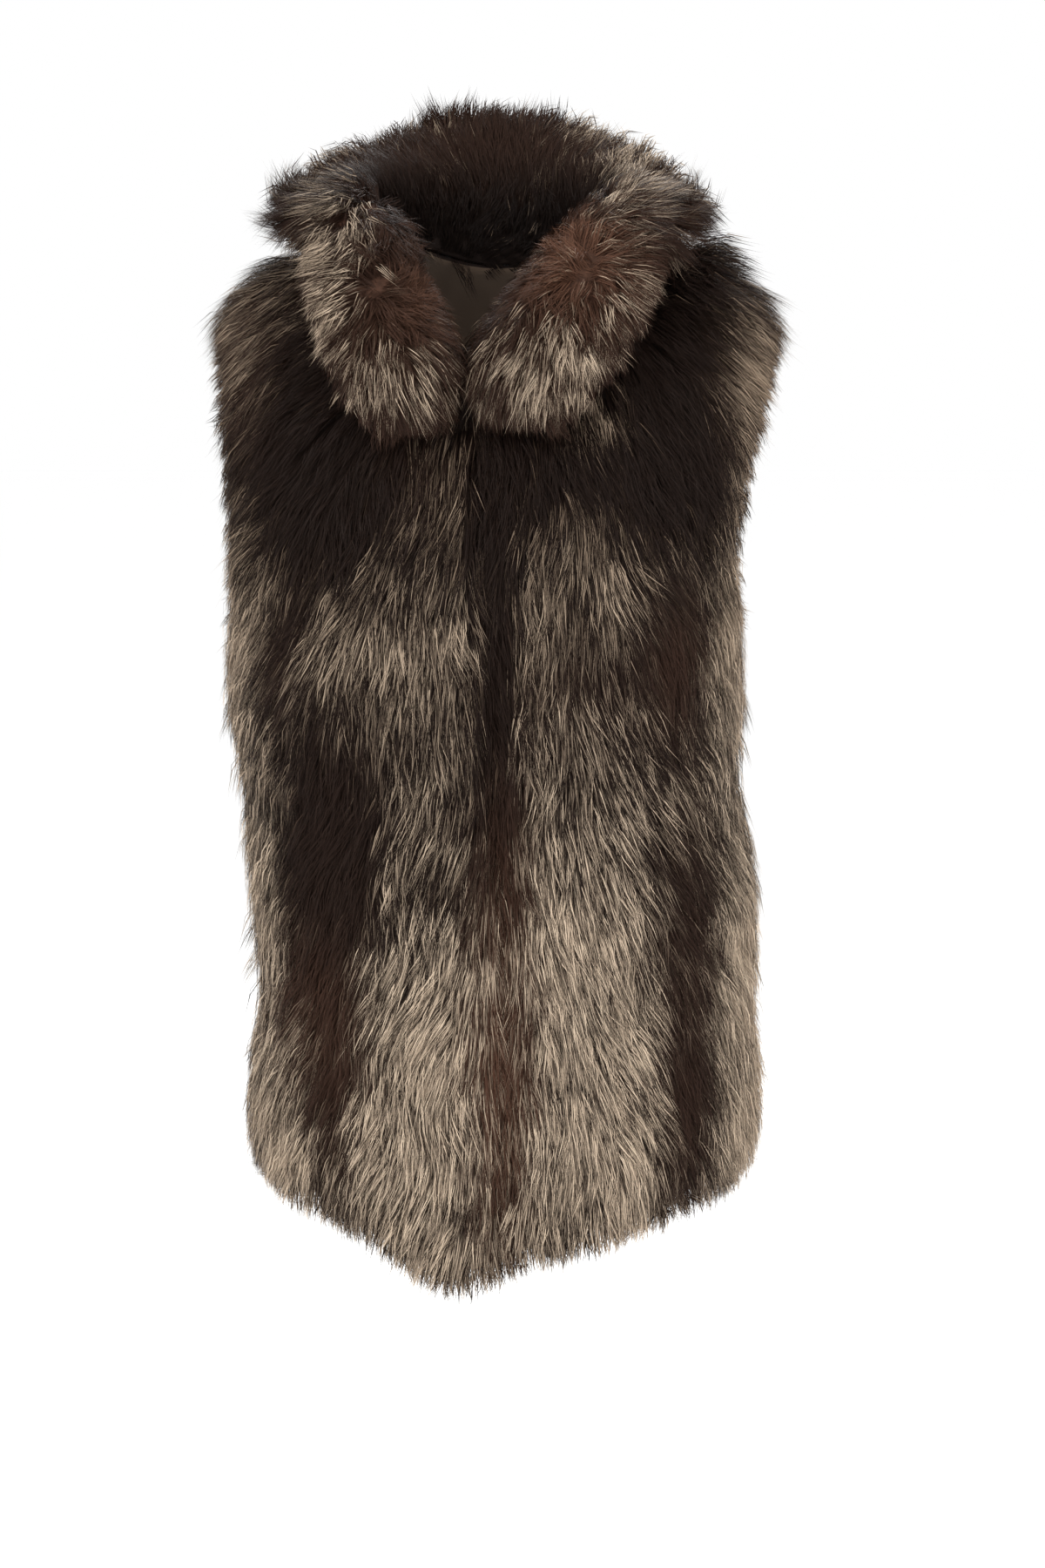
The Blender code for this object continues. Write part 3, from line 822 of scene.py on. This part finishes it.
comb = {
    "bodyOut": 0.55,  # how far the body's hair leans outwards as it hangs
    "shoulderOut": 1.3,
    "shoulderRun": (-0.12, 0.0),  # the heights at which the shoulders' lean starts and is whole
    "halfWidth": 0.19,
    "neckMiddle": (-0.018, -0.030, -0.020),
    "lobeFrom": 0.005,  # how far in front of the shoulders the lobes' own comb starts and is whole
    "lobeFull": 0.080,
    "lobeDown": 0.9,  # how much the hair below the partings hangs
    "downRun": (-0.012, 0.020),  # how far below them that starts and is whole
    "standRun": (-0.05, 0.0),  # the y at which the collar's stand starts and is whole
    # the two partings on the collar's lobes: x and z of their ends
    "partings": (((-0.106, 0.085), (-0.068, -0.020)), ((0.084, 0.080), (0.048, 0.010))),
    "partedNear": 0.020,
    "partedWild": 3.0,  # how much wilder the hair is at the partings, and how much shorter and fluffier
    "partedShorter": 0.50,
    "partedLoft": 0.9,
    "bodyWild": 1.0,  # how ruffled the hair is
    "collarWild": 1.3,
    "toNeck": 0.35,  # share of the partings' spread that is left towards the neck
    "neckBelow": 0.005,
    "neckwardRun": (0.25, 0.70),  # how much of the hair's direction is towards the neck
    "neckShorter": 0.70,  # how much shorter the hair is that heads for the neck
    "facingRun": (0.05, 0.6),  # how much the hide faces the neck
    "innerRun": (0.02, 0.06),  # the heights below which such hair is short, and darkened as painted shade
    "insideShadeRun": (0.035, 0.085),
    "innerDown": (0.0, -0.25, -1.0),  # its lie on the lobes
    "tiny": 1e-6,
}
hairLength = {
    "body": 0.038,
    "collar": 0.038,
    "stand": 0.028,
    "inner": 0.012,  # where the lobes face the neck
    "least": 0.011,
    "fullLoft": 0.034,  # hair of this length stands up in full, and the least by the low loft
    "lowLoft": 0.55,
    "rimLoft": 1.4,  # how much more the hair stands up at the collar's rim
    "rimRun": 0.032,
    "cornerLoft": 1.5,  # and on the left shoulder beside the collar, between these x and over these z
    "cornerStart": (0.07, 0.11),
    "cornerEnd": (0.13, 0.16),
    "cornerHeight": (-0.025, -0.005),
    "overHem": 0.012,  # how far the tips may pass the hide's rims
    "overArm": 0.001,
    "overLobe": 0.004,
    "overStand": 0.020,
    "coverNear": 0.001,  # another panel between these heights over the hide covers it
    "coverFar": 0.022,
    "covered": 0.08,  # share of the locks that is left there
}


def combBody(places):
    side = places[:, 0] / comb["halfWidth"]
    shoulder = smoothShare(places[:, 2], *comb["shoulderRun"])
    lean = comb["bodyOut"] + (comb["shoulderOut"] - comb["bodyOut"]) * shoulder
    return np.stack([side * lean, 0 * side, -np.ones(len(side))], 1)


# from the nearest place on the parting of this side's lobe
def fromParting(places):
    found = np.zeros_like(places)
    for side, (upper, lower) in zip((-1, 1), partings):
        run = lower - upper
        share = np.clip((places - upper) @ run / (run @ run), 0, 1)
        mine = (places[:, 0] - comb["neckMiddle"][0]) * side > 0
        found[mine] = (places - (upper + share[:, None] * run))[mine]
    return found


def lobeShare(places):
    return smoothShare(-places[:, 1], comb["lobeFrom"], comb["lobeFull"])


def combCollar(places):
    away = places - np.array(comb["neckMiddle"])
    away /= np.linalg.norm(away, axis=1)[:, None]
    parted = fromParting(places)
    spread = parted / (np.linalg.norm(parted, axis=1)[:, None] + comb["partedNear"])
    spread[:, 2] -= comb["lobeDown"] * smoothShare(-parted[:, 2], *comb["downRun"])
    side = np.sign(places[:, 0] - comb["neckMiddle"][0])
    toNeck = (parted[:, 0] * side < 0) & (parted[:, 2] < comb["neckBelow"])
    spread[:, 0] *= np.where(toNeck, comb["toNeck"], 1)
    return away + (spread - away) * lobeShare(places)[:, None]


def nearParting(places):
    far = np.linalg.norm(fromParting(places), axis=1) / comb["partedNear"]
    return np.exp(-(far**2)) * lobeShare(places)


# a direction laid flat on the hide
def layFlat(direction, normals):
    along = direction - normals * (direction * normals).sum(1)[:, None]
    return along / (np.linalg.norm(along, axis=1)[:, None] + comb["tiny"])


# the lie, length and lift of the body's hair
def layBody(places):
    x, z = places[:, 0], places[:, 2]
    corner = smoothShare(x, *hairLength["cornerStart"]) - smoothShare(x, *hairLength["cornerEnd"])
    corner *= smoothShare(z, *hairLength["cornerHeight"])
    none = np.zeros(len(places))
    return {
        "direction": combBody(places),
        "long": none + hairLength["body"],
        "lift": 1 + hairLength["cornerLoft"] * corner,
        "wild": none + comb["bodyWild"],
        "insideShade": none,
    }


# the same for the collar: it spreads from its partings, and it is short where it meets the neck
def layCollar(places, normals, rimFar, onTop):
    lobe, parted = lobeShare(places), nearParting(places)
    standing = smoothShare(places[:, 1], *comb["standRun"])
    direction, insideShade = combCollar(places), np.zeros(len(places))
    long = insideShade + hairLength["collar"]
    if onTop:
        long += (hairLength["stand"] - long) * standing
        toNeck = np.array(comb["neckMiddle"]) - places
        toNeck[:, 2] = 0
        toNeck /= np.linalg.norm(toNeck, axis=1)[:, None]
        facing = smoothShare((normals * toNeck).sum(1), *comb["facingRun"])
        low = 1 - smoothShare(places[:, 2], *comb["innerRun"])
        long += (hairLength["inner"] - long) * facing * np.maximum(lobe, low)
        direction += (np.array(comb["innerDown"]) - direction) * (facing * lobe)[:, None]
        # painted shade: low hair facing the neck, deep inside the collar, is marked for darkening
        insideShade = facing * (1 - smoothShare(places[:, 2], *comb["insideShadeRun"]))
        side = np.sign(places[:, 0] - comb["neckMiddle"][0])
        neckward = smoothShare(-layFlat(direction, normals)[:, 0] * side, *comb["neckwardRun"])
        long *= 1 - comb["neckShorter"] * neckward * lobe
    atRim = standing * (1 - smoothShare(rimFar, 0, hairLength["rimRun"]))
    return {
        "direction": direction,
        "long": long * (1 - comb["partedShorter"] * parted),
        "lift": (1 + hairLength["rimLoft"] * atRim) * (1 + comb["partedLoft"] * parted),
        "wild": comb["collarWild"] + comb["partedWild"] * parted,
        "insideShade": insideShade,
    }


# silver, rust and paleness at the places where the hair's colour shows
def toneOf(shown, roots, nodeName, insideShade):
    patches = patchesOf[nodeName]
    silver, rust = patchSum(patches, shown, "silver"), patchSum(patches, shown, "rust")
    if nodeName in bodyNodes:
        silver += np.interp(shown[:, 2], pattern["heights"], pattern["silver"])
        rust += pattern["rust"]
        low = smoothShare(-shown[:, 2], -pattern["paleFrom"], -pattern["paleFull"])
        pale = pattern["paleTop"] + (1 - pattern["paleTop"]) * low
    else:
        silver += pattern["collar"]
        # painted shade deep inside the collar: less silver and less rust there
        silver -= insideShade * pattern["innerShade"]
        rust = pattern["collarRust"] * (1 - insideShade) + rust * lobeShare(roots)
        pale = np.full(len(shown), pattern["collarPale"])
    silver = np.clip(silver, pattern["leastSilver"], pattern["mostSilver"])
    return {"silver": silver, "rust": np.clip(rust, 0, 1), "pale": pale}


# how far each place is from the nearest free rim, and how far the hair's tips may pass that rim
def rimReach(places, onBody):
    far, over = np.zeros(len(places)), np.zeros(len(places))
    for number, place in enumerate(places):
        spot, _, far[number] = rimTrees[onBody].find(place)
        onCollar = "overLobe" if place[1] < -comb["lobeFull"] else "overStand"
        atHem = spot.z < pelt["hemBelow"]
        over[number] = hairLength["overHem" if atHem else "overArm" if onBody else onCollar]
    return far, over


# the part of a hide's fur side that lies between two x, as a piece of its own to grow on
def rootsOf(hide, coat):
    roots = bpy.data.objects.new(coat["name"], hide.data.copy())
    roots.data.name = coat["name"]
    bpy.context.scene.collection.objects.link(roots)
    pickOnly(roots)
    bpy.ops.object.mode_set(mode="EDIT")
    bpy.ops.mesh.select_mode(type="FACE")
    bpy.ops.mesh.select_all(action="DESELECT")
    bpy.ops.object.mode_set(mode="OBJECT")
    side = roots.data.attributes["side"]
    for face in roots.data.polygons:
        face.select = side.data[face.index].value != 0 or not coat["from"] < face.center.x <= coat["to"]
    bpy.ops.object.mode_set(mode="EDIT")
    bpy.ops.mesh.delete(type="FACE")
    bpy.ops.mesh.select_all(action="SELECT")
    bpy.ops.mesh.subdivide(number_cuts=1)
    bpy.ops.object.mode_set(mode="OBJECT")
    return roots


# 1 where another panel lies over this place
def coverAt(places, normals, nodeName):
    others = [tree for other, tree in nodeTrees.items() if other != nodeName]
    cover = np.zeros(len(places))
    for number, (place, normal) in enumerate(zip(places, normals)):
        up = Vector(normal)
        start = Vector(place) + up * hairLength["coverNear"]
        for other in others:
            spot, faces, _, _ = other.ray_cast(start, up, hairLength["coverFar"])
            if spot is not None and faces.dot(up) < 0:
                cover[number] = 1
    return cover


def growOn(hide, nodeName, coat, tree):
    roots = rootsOf(hide, coat)
    mesh = roots.data
    count = len(mesh.vertices)
    places, normals = np.zeros(count * 3), np.zeros(count * 3)
    mesh.vertices.foreach_get("co", places)
    mesh.vertices.foreach_get("normal", normals)
    places, normals = places.reshape(-1, 3), normals.reshape(-1, 3)
    onBody = nodeName in bodyNodes

    rimFar, over = rimReach(places, onBody)
    onTop = nodeName == "top_collar"
    lay = layBody(places) if onBody else layCollar(places, normals, rimFar, onTop)
    long = np.maximum(np.minimum(lay["long"], rimFar + over), hairLength["least"])
    stands = smoothShare(long, hairLength["least"], hairLength["fullLoft"])
    loft = hairLength["lowLoft"] + (1 - hairLength["lowLoft"]) * stands
    along = layFlat(lay["direction"], normals)
    values = toneOf(places + along * (long * pattern["shown"])[:, None], places, nodeName, lay["insideShade"])
    values["long"] = long / lockShape["length"]
    values["loft"] = loft * lay["lift"]
    values["wild"] = lay["wild"]
    values["thick"] = 1 - (1 - hairLength["covered"]) * coverAt(places, normals, nodeName)
    for key, numbers in values.items():
        mesh.attributes.new(key, "FLOAT", "POINT").data.foreach_set("value", numbers.astype(np.float32))
    combed = mesh.attributes.new("comb", "FLOAT_VECTOR", "POINT")
    combed.data.foreach_set("vector", lay["direction"].astype(np.float32).ravel())

    grow = roots.modifiers.new("grow", "NODES")
    grow.node_group = tree
    given = {"Locks per m2": float(coat["locks"]), "Seed": coat["seed"]}
    for item in tree.interface.items_tree:
        if item.name in given:
            grow[item.identifier] = given[item.name]
    pickOnly(roots)
    bpy.ops.object.modifier_apply(modifier=grow.name)
    triangles = sum(len(face.vertices) - 2 for face in roots.data.polygons)
    print(coat["name"], triangles, "triangles")
    return roots


# Each panel's CAD node, hide, material slot, flat size and area, and its coats of hair: the x between
# which a coat grows, its locks to a square metre and its seed.
panels = [
    {
        "node": "front_right", "hide": "peltFrontRight", "slot": "body_fur",
        "flat": (0.245, 0.79), "area": 0.153,
        "coats": [{"name": "hairFrontRight", "from": -1, "to": 1, "locks": 34000, "seed": 11}],
    },
    {
        "node": "front_left", "hide": "peltFrontLeft", "slot": "body_fur",
        "flat": (0.245, 0.79), "area": 0.157,
        "coats": [{"name": "hairFrontLeft", "from": -1, "to": 1, "locks": 34000, "seed": 12}],
    },
    {
        "node": "back", "hide": "peltBack", "slot": "body_fur",
        "flat": (0.48, 0.77), "area": 0.306,
        "coats": [
            {"name": "hairBackRight", "from": -1, "to": 0, "locks": 26500, "seed": 13},
            {"name": "hairBackLeft", "from": 0, "to": 1, "locks": 26500, "seed": 14},
        ],
    },
    {
        "node": "under_collar", "hide": "peltUnderCollar", "slot": "collar_fur",
        "flat": (0.70, 0.12), "area": 0.072,
        "coats": [{"name": "hairUnderCollar", "from": -1, "to": 1, "locks": 26000, "seed": 15}],
    },
    {
        "node": "top_collar", "hide": "peltTopCollar", "slot": "collar_fur",
        "flat": (0.70, 0.12), "area": 0.073,
        "coats": [{"name": "hairTopCollar", "from": -1, "to": 1, "locks": 52000, "seed": 16}],
    },
]


def frontOf(nodeName, x, z):
    return np.array(nodeTrees[nodeName].ray_cast(Vector((x, -1, z)), Vector((0, 1, 0)))[0])


buildStudio()
nodeTrees = {name: treeOf(node) for name, node in nodes.items()}
fleshOf, hideOf, rims = {}, {}, {True: [], False: []}
for panel in panels:
    nodeName = panel["node"]
    hideOf[nodeName] = mergedCopy(nodeName, panel["hide"])
    fleshOf[nodeName] = fleshFaces(hideOf[nodeName], nodeName)
    rims[nodeName in bodyNodes] += rimPoints(hideOf[nodeName], fleshOf[nodeName], nodeName)
hemTree = pointTree([p for p in rims[True] if p.z < pelt["hemBelow"]])
rimTrees = {onBody: pointTree(points) for onBody, points in rims.items()}
partings = [[frontOf("top_collar", x, z) for x, z in ends] for ends in comb["partings"]]
print("pelts cut, free rim points:", len(rims[True]), len(rims[False]))

underfurs = {
    "body": underfurMaterial("bodyUnderfur", "brown"),
    "collar": underfurMaterial("collarUnderfur", "rust"),
}
suedeFinish = suedeMaterial("hideSuede")
locks = modelLocks()
trees = {where: growthTree(locks, hairMaterial(where)) for where in ("body", "collar")}
for panel in panels:
    nodeName, hide = panel["node"], hideOf[panel["node"]]
    flesh, where = fleshOf[nodeName], "body" if nodeName in bodyNodes else "collar"
    markSides(hide, flesh, nodeName)
    thinToUnderfur(hide, flesh)
    raiseHem(hide)
    creaseAndSmooth(hide)
    coats = [growOn(hide, nodeName, coat, trees[where]) for coat in panel["coats"]]
    hide.data.materials.append(underfurs[where])
    hide.data.materials.append(suedeFinish)
    side = hide.data.attributes["side"]
    for face in hide.data.polygons:
        face.material_index = 1 if side.data[face.index].value == 1 else 0
    for piece in [hide] + coats:
        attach(piece, "root")
    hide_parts(nodeName)
for lock in list(locks.objects):
    bpy.data.objects.remove(lock)
